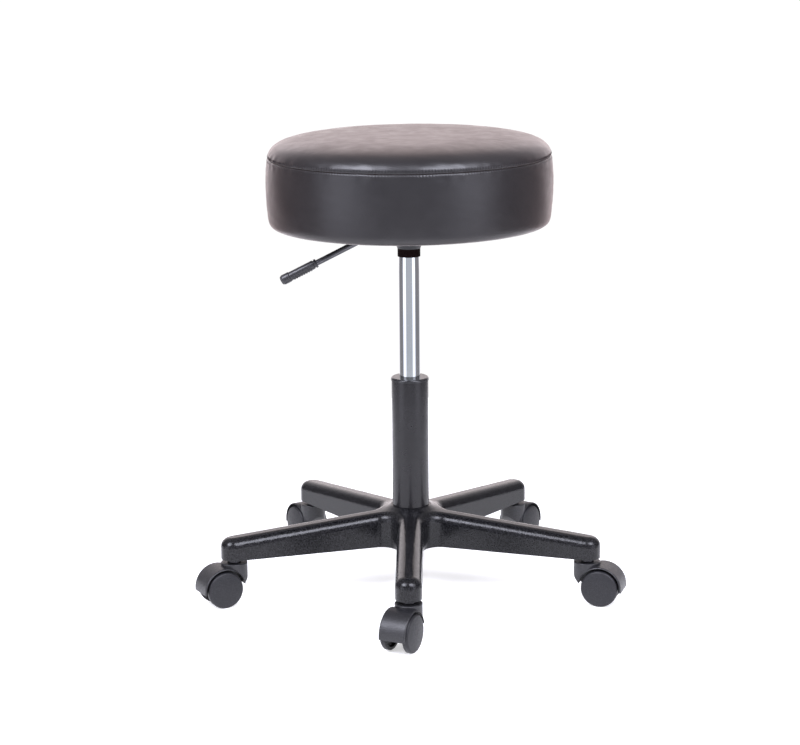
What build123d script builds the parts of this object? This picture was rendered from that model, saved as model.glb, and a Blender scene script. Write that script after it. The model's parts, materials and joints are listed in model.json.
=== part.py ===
from build123d import *
import math
import os

# Height-adjustable round stool: a swivelling cushioned seat on a gas lift,
# a five-legged nylon base and five hooded twin-wheel casters.
# Millimetres, +Z up. The origin is on the floor under the column axis.
# The gas lift is modelled at full height, and the front leg points along -Y.

# ---- driving dimensions -------------------------------------------------
LEG_COUNT = 5
LEG_WIDTH = 35.0
LEG_WALL = 3.5
LEG_SHOULDER = 13.0        # rounding along the top edges of the legs
LEG_VALLEY = 22.0          # plan rounding between two legs
STEM_REACH = 250.0         # column axis to caster stem
BASE_LOW = 63.2            # underside of the legs
TIP_HIGH = 92.6            # top of a leg above its stem
SLOPE_START = 52.0         # radius where the legs start to fall away
SLOPE_HIGH = 109.2
HUB_RIM_RADIUS = 27.5
HUB_RIM_HIGH = 115.8
RIB = 2.5
RIB_RISE = 4.0             # ribs stop this far above the underside
CROSS_RIB_REACHES = (85.0, 140.0, 195.0)
HUB_WALL = 6.0
BOSS_WALL = 4.5

TUBE_RADIUS = 25.0
TUBE_WALL = 2.0
TUBE_LOW = 69.5
TUBE_HIGH = 291.0
LIP_HEIGHT = 4.2
LIP_OVERHANG = 0.8
LIP_ROUNDING = 2.4
BUSHING_LENGTH = 66.0

ROD_RADIUS = 5.0
ROD_STUD_RADIUS = 4.0
BALL_RADIUS = 2.5
BALL_COUNT = 9
BALL_PITCH_RADIUS = 9.0
RACE_RADIUS = 13.0
RACE_THICKNESS = 2.5
END_PLATE = 4.0
PISTON_RADIUS = 8.7
SEAL_RADIUS = 8.9
SEAL_SEAT = 7.4            # bottom of the piston's seal groove

CHROME_RADIUS = 14.0
CHROME_BORE = 12.5
CHROME_LOW = 235.0
CHROME_HIGH = 491.0
TAPER_LOW = 440.0
TAPER_TIP_RADIUS = 13.2
LIFT_TRAVEL = 140.0
PIN_RADIUS = 3.0
PIN_HIGH = 497.0

COLLAR_RADIUS = 15.3
COLLAR_LOW = 461.0
SOCKET_LOW = 472.0
SOCKET_RADIUS = 16.0
PAN_LOW = 485.0
PAN_HALF = 42.0            # half width of the pan floor
PAN_TAPER = 15.0           # slope of the pan walls, degrees
PLATE = 2.5                # sheet thickness of the seat plate
FLANGE_HIGH = 508.0
FLANGE_HALF = 85.0
BOLT_OFFSET = 65.0         # seat bolts at +/- this in X and Y

LEVER_ROD_RADIUS = 4.0
LEVER_HIGH = 501.5         # centre height of the lever above the release pin
LEVER_BEND_X = -26.5
LEVER_DROP = 26.9          # degrees below level
LEVER_TIP_X = -172.0
LEVER_PIVOT = (-27.0, 0.0, 501.1)
GRIP_LENGTH = 54.0
GRIP_RADIUS = 6.2
GRIP_RIBS = 8
GRIP_RIB_PITCH = 3.6
GRIP_RIB_START = 10.0
PIVOT_RADIUS = 2.0

BOARD_RADIUS = 172.0
BOARD_LOW = 508.6
BOARD_THICKNESS = 12.0
COVER_THICKNESS = 1.0
RIM_LOW = 505.0            # lowest line of the upholstered rim
SIDE_RADIUS = 190.8        # widest part of the side
SEAM_RADIUS = 188.2
SEAM_HEIGHT = 596.5
SEAT_TOP = 625.0
SEAT_FLAT_RADIUS = 60.0
WRAP_RADIUS = 150.0        # inner edge of the cover under the board
DUST_THICKNESS = 0.6
DUST_RADIUS = 160.0
STAPLE_COUNT = 24
STAPLE_RING = 156.0

WHEEL_RADIUS = 25.0
CASTER_TRAIL = 20.5        # stem to axle
HUB_INNER = 7.3            # wheel faces, from the caster's mid plane
TREAD_INNER = 12.0
WHEEL_HOLLOW = 16.2
WHEEL_OUTER = 20.0
WHEEL_DOME = 22.3
DISC_RADIUS = 22.0
WEB_HALF = 6.8
WEB_LOW = 18.0
HOOD_HALF = 18.6
HOOD_RADIUS = 30.0
HOOD_BORE = 28.4
HOOD_REAR_LOW = 21.5
NECK_RADIUS = 18.0
NECK_HIGH = 58.0
NECK_FRONT_LOW = 41.0
AXLE_RADIUS = 3.0
STEM_RADIUS = 5.0
STEM_LOW = 36.0
STEM_HIGH = 86.0

RUNNING = 0.08             # radial running clearance
FIT = 0.05                 # radial clearance of a close fit in one body
GAP = 0.3                  # clearance between moving faces

# Leg name, leg direction, and how far its caster is turned off that leg.
LEG_STEP = 360.0 / LEG_COUNT
LEG_NAMES = ["front", "right", "rear_right", "rear_left", "left"]
CASTER_TURNS = [-25.0, 1.0, 3.0, -3.0, 11.0]
LEG_ANGLES = [-90.0 + LEG_STEP * index for index in range(LEG_COUNT)]


# ---- helpers ------------------------------------------------------------
def rod(radius, low, high):
    """Upright cylinder on the Z axis between two heights."""
    return Pos(0, 0, (low + high) / 2) * Cylinder(radius, high - low)


def ring(outer, inner, low, high):
    """Upright ring on the Z axis between two heights."""
    return rod(outer, low, high) - rod(inner, low - 1, high + 1)


def block(x_low, x_high, y_low, y_high, z_low, z_high):
    """Box between two corners."""
    size = Box(x_high - x_low, y_high - y_low, z_high - z_low)
    centre = ((x_low + x_high) / 2, (y_low + y_high) / 2, (z_low + z_high) / 2)
    return Pos(*centre) * size


def turned(points):
    """Solid of revolution about Z from (radius, height) points."""
    outline = Polyline(*[(r, 0, z) for r, z in points], close=True)
    return revolve(make_face(outline), Axis.Z)


def around(shape, angles, radius=0.0):
    """Copies of a shape on a circle about Z, each turned to its angle."""
    return [Rot(0, 0, angle) * Pos(radius, 0, 0) * shape for angle in angles]


def joined(shapes):
    """All shapes fused, or kept as separate solids where they don't touch."""
    whole = shapes[0]
    for shape in shapes[1:]:
        whole = whole + shape
    return whole


def save(name, shape):
    """Write one node to parts/."""
    solids = shape.solids()
    whole = solids[0] if len(solids) == 1 else Compound(children=list(solids))
    export_step(whole, os.path.join("parts", name + ".step"))


# ---- five-legged base ---------------------------------------------------
def star_plan(inset):
    """Plan of the five legs, drawn in from the outside by the inset."""
    half = LEG_WIDTH / 2 - inset
    leg = Pos(STEM_REACH / 2, 0) * Rectangle(STEM_REACH, 2 * half)
    leg = leg + Pos(STEM_REACH, 0) * Circle(half)
    plan = joined([Rot(0, 0, angle) * leg for angle in LEG_ANGLES])
    valley_radius = half / math.sin(math.radians(LEG_STEP / 2))
    valleys = [v for v in plan.vertices() if math.hypot(v.X, v.Y) < valley_radius + 1]
    return fillet(valleys, LEG_VALLEY + inset)


def star_height(inset):
    """Round body whose top falls from the hub rim to the leg tips."""
    fall = (SLOPE_HIGH - TIP_HIGH) / (STEM_REACH - SLOPE_START)
    outer_radius = STEM_REACH + LEG_WIDTH
    outer_high = SLOPE_HIGH - fall * (outer_radius - SLOPE_START)
    tip = (outer_radius, 0, outer_high - inset)
    start = (SLOPE_START, 0, SLOPE_HIGH - inset)
    rim = (HUB_RIM_RADIUS, 0, HUB_RIM_HIGH - inset)
    knee = (HUB_RIM_RADIUS + 9.0, 0, SLOPE_HIGH - inset + 1.3)
    slope = Line(tip, start)
    rise = Bezier(start, knee, rim)
    level = Line(rim, (0, 0, HUB_RIM_HIGH - inset))
    axis_line = Line((0, 0, HUB_RIM_HIGH - inset), (0, 0, BASE_LOW - 5))
    foot = Line((0, 0, BASE_LOW - 5), (outer_radius, 0, BASE_LOW - 5))
    side = Line((outer_radius, 0, BASE_LOW - 5), tip)
    return revolve(make_face([slope, rise, level, axis_line, foot, side]), Axis.Z)


def star_blank(inset):
    """Solid five-legged form with rounded top edges."""
    prism = Pos(0, 0, BASE_LOW) * extrude(star_plan(inset), HUB_RIM_HIGH)
    form = prism & star_height(inset)
    lengthwise = form.edges().filter_by(star_top_edge)
    return fillet(lengthwise, LEG_SHOULDER - inset)


def star_top_edge(edge):
    """True for the edges between the leg walls and the sloping top."""
    centre = edge.center()
    away = math.hypot(centre.X, centre.Y)
    upright = abs(edge.tangent_at(0.5).Z) > 0.9
    return centre.Z > BASE_LOW + 1 and not upright and away > HUB_RIM_RADIUS + 8


def make_star_base():
    outer = star_blank(0.0)
    inner = star_blank(LEG_WALL)
    shell = outer - inner
    rib_low = BASE_LOW + RIB_RISE
    hub = rod(TUBE_RADIUS + HUB_WALL, BASE_LOW, HUB_RIM_HIGH)
    boss = rod(STEM_RADIUS + BOSS_WALL, BASE_LOW, TIP_HIGH)
    long_rib = block(TUBE_RADIUS, STEM_REACH, -RIB / 2, RIB / 2, rib_low, SLOPE_HIGH)
    cross_rib = block(-RIB / 2, RIB / 2, -LEG_WIDTH / 2, LEG_WIDTH / 2, rib_low, SLOPE_HIGH)
    webs = [hub]
    webs += around(boss, LEG_ANGLES, STEM_REACH)
    webs += around(long_rib, LEG_ANGLES)
    for reach in CROSS_RIB_REACHES:
        webs += around(cross_rib, LEG_ANGLES, reach)
    filled = shell + (joined(webs) & outer)
    filled = filled - rod(TUBE_RADIUS + FIT, TUBE_LOW, HUB_RIM_HIGH + 5)
    filled = filled - rod(TUBE_RADIUS - HUB_WALL, BASE_LOW - 1, TUBE_LOW + 1)
    for bore in around(rod(STEM_RADIUS + FIT, BASE_LOW - 1, STEM_HIGH + 1), LEG_ANGLES, STEM_REACH):
        filled = filled - bore
    return filled


# ---- column and its thrust bearing --------------------------------------
PLATE_HIGH = TUBE_LOW + END_PLATE
RACE_HIGH = PLATE_HIGH + RACE_THICKNESS
UPPER_RACE_LOW = RACE_HIGH + 2 * BALL_RADIUS + 0.15
UPPER_RACE_HIGH = UPPER_RACE_LOW + RACE_THICKNESS
BUFFER_HIGH = CHROME_LOW - LIFT_TRAVEL - GAP
ROD_LOW = TUBE_LOW - 5.0
ROD_HIGH = 272.0
PISTON_LOW = 262.0
CLIP_HIGH = TUBE_LOW - GAP
CLIP_THICKNESS = 1.3


def make_column_tube():
    return ring(TUBE_RADIUS, TUBE_RADIUS - TUBE_WALL, TUBE_LOW, TUBE_HIGH)


def make_tube_end_plate():
    return ring(TUBE_RADIUS - TUBE_WALL - FIT, ROD_STUD_RADIUS + RUNNING, TUBE_LOW, PLATE_HIGH)


def make_lower_race():
    return ring(RACE_RADIUS, ROD_STUD_RADIUS + 0.4, PLATE_HIGH, RACE_HIGH)


def ball_angles():
    return [360.0 / BALL_COUNT * index for index in range(BALL_COUNT)]


def make_bearing_balls():
    ball = Pos(0, 0, RACE_HIGH + BALL_RADIUS) * Sphere(BALL_RADIUS)
    return Compound(children=around(ball, ball_angles(), BALL_PITCH_RADIUS))


def make_ball_cage():
    middle = RACE_HIGH + BALL_RADIUS
    cage = ring(RACE_RADIUS - 0.8, ROD_STUD_RADIUS + 1.4, middle - 0.6, middle + 0.6)
    pocket = rod(BALL_RADIUS + 0.15, middle - 2, middle + 2)
    for hole in around(pocket, ball_angles(), BALL_PITCH_RADIUS):
        cage = cage - hole
    return cage


def make_guide_bushing():
    """Plastic guide in the tube with a rounded lip over the tube's edge."""
    lip_radius = TUBE_RADIUS + LIP_OVERHANG
    lip_high = TUBE_HIGH + LIP_HEIGHT
    body = ring(TUBE_RADIUS - TUBE_WALL - FIT, CHROME_RADIUS + RUNNING,
                TUBE_HIGH - BUSHING_LENGTH, TUBE_HIGH)
    lip = rod(lip_radius, TUBE_HIGH, lip_high)
    lip = fillet(lip.edges().sort_by(Axis.Z)[-1:], LIP_ROUNDING)
    lip = lip - rod(CHROME_RADIUS + RUNNING, TUBE_HIGH - 1, lip_high + 1)
    return body + lip


# ---- piston rod, held in the column and free to turn ----------------------
def make_piston_rod():
    stud = rod(ROD_STUD_RADIUS, ROD_LOW, UPPER_RACE_HIGH)
    shaft = rod(ROD_RADIUS, UPPER_RACE_HIGH, PISTON_LOW)
    nose = rod(ROD_STUD_RADIUS, PISTON_LOW, ROD_HIGH)
    groove = ring(ROD_RADIUS, ROD_STUD_RADIUS - 0.8, CLIP_HIGH - CLIP_THICKNESS, CLIP_HIGH)
    return stud + shaft + nose - groove


def make_retaining_clip():
    clip = ring(7.0, ROD_STUD_RADIUS - 0.75, CLIP_HIGH - CLIP_THICKNESS, CLIP_HIGH)
    return clip - block(0, 10, -2.2, 2.2, TUBE_LOW - 10, TUBE_LOW)


def make_upper_race():
    return ring(RACE_RADIUS, ROD_STUD_RADIUS + FIT, UPPER_RACE_LOW, UPPER_RACE_HIGH)


def make_rubber_buffer():
    return ring(RACE_RADIUS, ROD_RADIUS + FIT, UPPER_RACE_HIGH, BUFFER_HIGH)


def make_piston():
    body = ring(PISTON_RADIUS, ROD_STUD_RADIUS + FIT, PISTON_LOW, ROD_HIGH)
    return body - ring(PISTON_RADIUS + 1, SEAL_SEAT, PISTON_LOW + 3.5, PISTON_LOW + 6.5)


def make_piston_seal():
    return ring(SEAL_RADIUS, SEAL_SEAT + FIT, PISTON_LOW + 3.5, PISTON_LOW + 6.5)


# ---- gas cylinder, which rises and turns with the seat --------------------
VALVE_LOW = 470.0
VALVE_HIGH = CHROME_HIGH - 2.5
GUIDE_HIGH = CHROME_LOW + 15.0
SEAL_HIGH = GUIDE_HIGH + 6.0


def make_pressure_cylinder():
    outline = [
        (CHROME_BORE - 1.8, CHROME_LOW),
        (CHROME_RADIUS - 0.8, CHROME_LOW),
        (CHROME_RADIUS, CHROME_LOW + 0.8),
        (CHROME_RADIUS, TAPER_LOW),
        (TAPER_TIP_RADIUS, CHROME_HIGH),
        (PIN_RADIUS + 0.4, CHROME_HIGH),
        (PIN_RADIUS + 0.4, VALVE_HIGH),
        (CHROME_BORE, VALVE_HIGH),
        (CHROME_BORE, CHROME_LOW + 1.5),
        (CHROME_BORE - 1.8, CHROME_LOW + 1.5),
    ]
    return turned(outline)


def make_rod_guide():
    return ring(CHROME_BORE - FIT, ROD_RADIUS + RUNNING, CHROME_LOW + 1.5, GUIDE_HIGH)


def make_rod_seal():
    return ring(CHROME_BORE - FIT, ROD_RADIUS + FIT, GUIDE_HIGH, SEAL_HIGH)


def make_inner_tube():
    return ring(10.5, 9.0, SEAL_HIGH, VALVE_LOW)


def make_valve_body():
    return ring(CHROME_BORE - FIT, PIN_RADIUS + RUNNING, VALVE_LOW, VALVE_HIGH)


def make_release_pin():
    pin = rod(PIN_RADIUS, VALVE_LOW + 6.0, PIN_HIGH)
    return fillet(pin.edges().sort_by(Axis.Z)[-1:], 1.6)


# ---- seat plate, socket and lever -----------------------------------------
def cone_radius(height):
    """Outer radius of the gas cylinder's tapered end at a height."""
    along = (height - TAPER_LOW) / (CHROME_HIGH - TAPER_LOW)
    return CHROME_RADIUS + along * (TAPER_TIP_RADIUS - CHROME_RADIUS)


def make_rubber_collar():
    return ring(COLLAR_RADIUS, cone_radius(COLLAR_LOW) + FIT, COLLAR_LOW, SOCKET_LOW)


def make_taper_socket():
    """Steel socket pressed on the cylinder's cone, flared by its weld to the pan."""
    top = PAN_LOW + PLATE + 2.0
    outline = [
        (cone_radius(SOCKET_LOW) + FIT, SOCKET_LOW),
        (SOCKET_RADIUS - 0.4, SOCKET_LOW),
        (SOCKET_RADIUS + 1.8, SOCKET_LOW + 6.5),
        (SOCKET_RADIUS + 5.0, PAN_LOW),
        (SOCKET_RADIUS, PAN_LOW),
        (SOCKET_RADIUS, top),
        (cone_radius(top) + FIT, top),
    ]
    return turned(outline)


def bolt_places():
    return [(x, y) for x in (-BOLT_OFFSET, BOLT_OFFSET) for y in (-BOLT_OFFSET, BOLT_OFFSET)]


def make_seat_plate():
    """Pressed pan that carries the lever, with a flange bolted to the seat board."""
    flange_low = FLANGE_HIGH - PLATE
    outer_plan = RectangleRounded(2 * PAN_HALF, 2 * PAN_HALF, 12.0)
    inner_half = PAN_HALF - PLATE
    inner_plan = RectangleRounded(2 * inner_half, 2 * inner_half, 9.5)
    outer = Pos(0, 0, PAN_LOW) * extrude(outer_plan, FLANGE_HIGH - PAN_LOW, taper=-PAN_TAPER)
    inner = Pos(0, 0, PAN_LOW + PLATE) * extrude(inner_plan, FLANGE_HIGH - PAN_LOW, taper=-PAN_TAPER)
    flange = Pos(0, 0, flange_low) * extrude(
        RectangleRounded(2 * FLANGE_HALF, 2 * FLANGE_HALF, 14.0), PLATE)
    pan = outer + flange - inner
    pan = pan - rod(SOCKET_RADIUS, PAN_LOW - 1, PAN_LOW + PLATE + 1)
    for x, y in bolt_places():
        pan = pan - Pos(x, y, 0) * rod(3.3, flange_low - 1, FLANGE_HIGH + 1)
    slot_low = PAN_LOW + 1.2
    lever_slot = block(-PAN_HALF - 12, -PAN_HALF + 3.5, -6.0, 6.0, slot_low, flange_low - 2)
    return pan - lever_slot


def make_lever_bracket():
    """Two ears welded to the pan floor, bored for the lever's pivot pin."""
    pivot_x, _, pivot_z = LEVER_PIVOT
    low = PAN_LOW + PLATE
    ear = block(pivot_x - 6, pivot_x + 6, LEVER_ROD_RADIUS + 0.6, LEVER_ROD_RADIUS + 2.6, low, pivot_z + 5)
    bore = Pos(pivot_x, 0, pivot_z) * Rot(90, 0, 0) * Cylinder(PIVOT_RADIUS + FIT, 30)
    ears = ear + mirror(ear, Plane.XZ)
    return ears - bore


def make_lever_pivot_pin():
    pivot_x, _, pivot_z = LEVER_PIVOT
    reach = LEVER_ROD_RADIUS + 3.6
    shank = Rot(90, 0, 0) * Cylinder(PIVOT_RADIUS, 2 * reach)
    head = Pos(0, reach + 0.6, 0) * Rot(90, 0, 0) * Cylinder(3.4, 1.6)
    return Pos(pivot_x, 0, pivot_z) * (shank + head)


def lever_point(x):
    """Centre of the dropped part of the lever at an x."""
    drop = math.tan(math.radians(LEVER_DROP))
    return (x, 0, LEVER_HIGH - (LEVER_BEND_X - x) * drop)


def make_lever_rod():
    inner_end = (PIN_RADIUS + 3.5, 0, LEVER_HIGH)
    bend = (LEVER_BEND_X, 0, LEVER_HIGH)
    path = FilletPolyline(inner_end, bend, lever_point(LEVER_TIP_X + 3.5), radius=12.0)
    section = Plane(origin=inner_end, z_dir=(-1, 0, 0)) * Circle(LEVER_ROD_RADIUS)
    bar = sweep(section, path=path)
    pivot_x, _, pivot_z = LEVER_PIVOT
    return bar - Pos(pivot_x, 0, pivot_z) * Rot(90, 0, 0) * Cylinder(PIVOT_RADIUS + RUNNING, 30)


def make_lever_grip():
    """Moulded sleeve with a stepped tip, a shadow groove and top ribs."""
    sleeve = rod(GRIP_RADIUS, 0, GRIP_LENGTH)
    sleeve = fillet(sleeve.edges().sort_by(Axis.Z)[-1:], 2.2)
    sleeve = fillet(sleeve.edges().sort_by(Axis.Z)[:1], 1.0)
    groove = ring(GRIP_RADIUS + 2, GRIP_RADIUS - 1.2, 2.6, 4.8)
    sleeve = sleeve - groove
    tip_pad = Pos(0, 0, GRIP_LENGTH - 8.0) * Cylinder(GRIP_RADIUS + 0.8, 12.0)
    tip_pad = fillet(tip_pad.edges(), 1.8)
    grip = sleeve + tip_pad
    top_side = block(-2 * GRIP_RADIUS, -1.5, -GRIP_RADIUS, GRIP_RADIUS, 0, GRIP_LENGTH)
    for index in range(GRIP_RIBS):
        height = GRIP_RIB_START + GRIP_RIB_PITCH * index
        rib = ring(GRIP_RADIUS + 0.7, GRIP_RADIUS - 1.0, height, height + 1.7)
        grip = grip + (rib & top_side)
    grip = grip - rod(LEVER_ROD_RADIUS + FIT, -1, GRIP_LENGTH - 3.0)
    start = lever_point(LEVER_TIP_X + GRIP_LENGTH * math.cos(math.radians(LEVER_DROP)))
    return Pos(*start) * Rot(0, -90 - LEVER_DROP, 0) * grip


# ---- seat ------------------------------------------------------------------
BOARD_HIGH = BOARD_LOW + BOARD_THICKNESS
COVER_LOW = BOARD_LOW - COVER_THICKNESS


def seat_body(inset):
    """Round cushion form drawn in by the inset: its rim hangs a little lower than the board,
    its side is slightly barrelled and its top is crowned."""
    slant = 0.7 * inset
    under = (BOARD_RADIUS - 6.0, 0, COVER_LOW + inset)
    rim = (178.5, 0, RIM_LOW + inset)
    rim_side = (185.6 - slant, 0, RIM_LOW + 2.3 + slant)
    side_low = (188.2 - inset, 0, RIM_LOW + 8.5)
    side_mid = (SIDE_RADIUS - inset, 0, (RIM_LOW + SEAM_HEIGHT) / 2)
    seam = (SEAM_RADIUS - inset, 0, SEAM_HEIGHT)
    shoulder = (183.6 - slant, 0, 606.2 - slant)
    brow = (175.0 - slant, 0, 613.4 - slant)
    crown = (130.0, 0, 621.6 - inset)
    flat = (SEAT_FLAT_RADIUS, 0, SEAT_TOP - inset)
    top = (0, 0, SEAT_TOP - inset)
    outline = [
        Line((0, 0, COVER_LOW + inset), under),
        Line(under, rim),
        ThreePointArc(rim, rim_side, side_low),
        ThreePointArc(side_low, side_mid, seam),
        ThreePointArc(seam, shoulder, brow),
        ThreePointArc(brow, crown, flat),
        Line(flat, top),
        Line(top, (0, 0, COVER_LOW + inset)),
    ]
    return revolve(make_face(outline), Axis.Z)


def make_cover():
    """Cover skin, open under the board."""
    skin = seat_body(0.0) - seat_body(COVER_THICKNESS)
    return skin - rod(WRAP_RADIUS, COVER_LOW - 1, BOARD_LOW + 1)


def make_cover_top_panel():
    return make_cover() & rod(200.0, SEAM_HEIGHT, SEAT_TOP + 1)


def make_cover_side_band():
    return make_cover() & rod(200.0, RIM_LOW - 1, SEAM_HEIGHT) - staple_legs()


def make_seat_foam():
    foam = seat_body(COVER_THICKNESS + 0.1) - rod(BOARD_RADIUS + 0.1, RIM_LOW - 1, BOARD_HIGH)
    for x, y in bolt_places():
        foam = foam - Pos(x, y, 0) * rod(10.0, BOARD_HIGH - 1, BOARD_HIGH + 2.0)
    return foam


def staple_angles():
    return [360.0 / STAPLE_COUNT * (index + 0.5) for index in range(STAPLE_COUNT)]


def staple_legs():
    """Legs of all the staples, used to cut what they are driven through."""
    low = COVER_LOW - DUST_THICKNESS - 0.1
    leg = block(-0.35, 0.35, 4.1, 5.1, low, BOARD_LOW + 4.0)
    pair = leg + mirror(leg, Plane.XZ)
    return Compound(children=around(pair, staple_angles(), STAPLE_RING))


def make_staples():
    low = COVER_LOW - DUST_THICKNESS
    crown = block(-0.3, 0.3, -5.0, 5.0, low - 0.6, low)
    leg = block(-0.3, 0.3, 4.2, 5.0, low, BOARD_LOW + 3.9)
    staple = crown + leg + mirror(leg, Plane.XZ)
    return Compound(children=around(staple, staple_angles(), STAPLE_RING))


def make_seat_board():
    board = rod(BOARD_RADIUS, BOARD_LOW, BOARD_HIGH)
    board = chamfer(board.edges().sort_by(Axis.Z)[-1:], 1.5)
    for x, y in bolt_places():
        board = board - Pos(x, y, 0) * rod(4.2, BOARD_LOW - 1, BOARD_HIGH + 1)
    return board - staple_legs()


def make_dust_cover():
    """Black cloth disc under the board: flat in the middle, over the cover's edge outside."""
    ramp = 3.0
    outline = [
        (0.0, BOARD_LOW - DUST_THICKNESS),
        (WRAP_RADIUS - 1.0 - ramp, BOARD_LOW - DUST_THICKNESS),
        (WRAP_RADIUS - 1.0, COVER_LOW - DUST_THICKNESS),
        (DUST_RADIUS, COVER_LOW - DUST_THICKNESS),
        (DUST_RADIUS, COVER_LOW),
        (WRAP_RADIUS - 0.8, COVER_LOW),
        (WRAP_RADIUS - 0.8 - ramp, BOARD_LOW),
        (0.0, BOARD_LOW),
    ]
    cloth = turned(outline)
    for x, y in bolt_places():
        cloth = cloth - Pos(x, y, 0) * rod(4.2, COVER_LOW - 5, BOARD_HIGH)
    return cloth - staple_legs()


def make_t_nuts():
    barrel = ring(4.1, 3.05, BOARD_LOW + 2.0, BOARD_HIGH)
    flange = ring(9.5, 3.05, BOARD_HIGH, BOARD_HIGH + 1.4)
    nut = barrel + flange
    return Compound(children=[Pos(x, y, 0) * nut for x, y in bolt_places()])


WASHER_LOW = FLANGE_HIGH - PLATE - 1.4


def make_seat_washers():
    washer = ring(6.5, 3.2, WASHER_LOW, FLANGE_HIGH - PLATE)
    return Compound(children=[Pos(x, y, 0) * washer for x, y in bolt_places()])


def make_seat_bolts():
    head_low = WASHER_LOW - 4.0
    hexagon = Pos(0, 0, head_low) * extrude(RegularPolygon(5.77, 6), 4.0)
    bolt = hexagon + rod(3.0, WASHER_LOW, BOARD_HIGH)
    return Compound(children=[Pos(x, y, 0) * bolt for x, y in bolt_places()])


# ---- casters, drawn with the stem on the Z axis and trailing along +X --------
def across(radius, y_low, y_high):
    """Cylinder on the axle line between two distances from the mid plane."""
    middle = (y_low + y_high) / 2
    return Pos(CASTER_TRAIL, middle, WHEEL_RADIUS) * Rot(90, 0, 0) * Cylinder(radius, y_high - y_low)


def make_caster_body():
    """Thin hood over both wheels, central web and round neck in one moulding."""
    hood = across(HOOD_RADIUS, -HOOD_HALF, HOOD_HALF)
    hood = fillet(hood.edges(), 2.0)
    neck = rod(NECK_RADIUS, WEB_LOW, NECK_HIGH)
    neck = fillet(neck.edges().sort_by(Axis.Z)[-1:], 1.2)
    body = hood + neck
    for side in (-1, 1):
        y_low, y_high = sorted((side * WEB_HALF, side * (HOOD_HALF + 5)))
        body = body - across(HOOD_BORE, y_low, y_high)
    front = -NECK_RADIUS - 1.0
    under = [
        Line((front, 0, NECK_FRONT_LOW), (-NECK_RADIUS, 0, NECK_FRONT_LOW)),
        ThreePointArc((-NECK_RADIUS, 0, NECK_FRONT_LOW), (-13.2, 0, 34.6), (-6.6, 0, 30.0)),
        Line((-6.6, 0, 30.0), (4.0, 0, WEB_LOW)),
        Line((4.0, 0, WEB_LOW), (29.0, 0, WEB_LOW)),
        Line((29.0, 0, WEB_LOW), (33.0, 0, HOOD_REAR_LOW)),
        Line((33.0, 0, HOOD_REAR_LOW), (60.0, 0, HOOD_REAR_LOW)),
        Line((60.0, 0, HOOD_REAR_LOW), (60.0, 0, -10.0)),
        Line((60.0, 0, -10.0), (front, 0, -10.0)),
        Line((front, 0, -10.0), (front, 0, NECK_FRONT_LOW)),
    ]
    body = body - extrude(make_face(under), 30.0, both=True)
    body = body - across(AXLE_RADIUS + 0.02, -WEB_HALF - 1, WEB_HALF + 1)
    return body - rod(STEM_RADIUS + RUNNING, STEM_LOW - GAP, NECK_HIGH + 1)


def make_caster_wheel():
    """Right-hand wheel (on +Y): narrow tread, domed outer disc, hub and hollow inner side."""
    bore = AXLE_RADIUS + RUNNING
    rise = WHEEL_DOME - WHEEL_OUTER
    dome_radius = (DISC_RADIUS ** 2 + rise ** 2) / (2 * rise)
    half_way = DISC_RADIUS / 2
    dome_middle = WHEEL_DOME - dome_radius + math.sqrt(dome_radius ** 2 - half_way ** 2)
    outline = [
        Line((bore, HUB_INNER), (7.5, HUB_INNER)),
        Line((7.5, HUB_INNER), (7.5, WHEEL_HOLLOW)),
        Line((7.5, WHEEL_HOLLOW), (21.0, WHEEL_HOLLOW)),
        Line((21.0, WHEEL_HOLLOW), (21.0, TREAD_INNER)),
        Line((21.0, TREAD_INNER), (24.2, TREAD_INNER)),
        Line((24.2, TREAD_INNER), (WHEEL_RADIUS, TREAD_INNER + 0.8)),
        Line((WHEEL_RADIUS, TREAD_INNER + 0.8), (WHEEL_RADIUS, WHEEL_OUTER - 3.4)),
        ThreePointArc((WHEEL_RADIUS, WHEEL_OUTER - 3.4), (24.1, WHEEL_OUTER - 1.0), (DISC_RADIUS, WHEEL_OUTER)),
        ThreePointArc((DISC_RADIUS, WHEEL_OUTER), (half_way, dome_middle), (0, WHEEL_DOME)),
        Line((0, WHEEL_DOME), (0, 17.2)),
        Line((0, 17.2), (bore, 17.2)),
        Line((bore, 17.2), (bore, HUB_INNER)),
    ]
    wheel = revolve(make_face(outline), Axis.Y)
    return Pos(CASTER_TRAIL, 0, WHEEL_RADIUS) * wheel


def make_caster_axle():
    return across(AXLE_RADIUS, -17.0, 17.0)


RING_LOW = 79.6
RING_THICKNESS = 1.8


def make_stem():
    """Steel pin with a flange under the leg and a groove for its grip ring."""
    stem = rod(STEM_RADIUS, STEM_LOW, STEM_HIGH)
    stem = chamfer(stem.edges().sort_by(Axis.Z)[-1:], 1.0)
    flange = rod(9.0, NECK_HIGH + GAP, BASE_LOW)
    return stem + flange - ring(STEM_RADIUS + 1, STEM_RADIUS - 0.9, RING_LOW, RING_LOW + RING_THICKNESS)


def make_grip_ring():
    split = ring(STEM_RADIUS, STEM_RADIUS - 0.85, RING_LOW + 0.1, RING_LOW + RING_THICKNESS - 0.1)
    return split - block(0, 8, -1.2, 1.2, RING_LOW - 1, RING_LOW + RING_THICKNESS + 1)


def caster_place(index):
    """Moves a caster drawn at the origin to its leg, trailing the right way."""
    leg = math.radians(LEG_ANGLES[index])
    spot = Pos(STEM_REACH * math.cos(leg), STEM_REACH * math.sin(leg), 0)
    return spot * Rot(0, 0, LEG_ANGLES[index] + CASTER_TURNS[index])


# ---- write every node --------------------------------------------------------
os.makedirs("parts", exist_ok=True)

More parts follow.
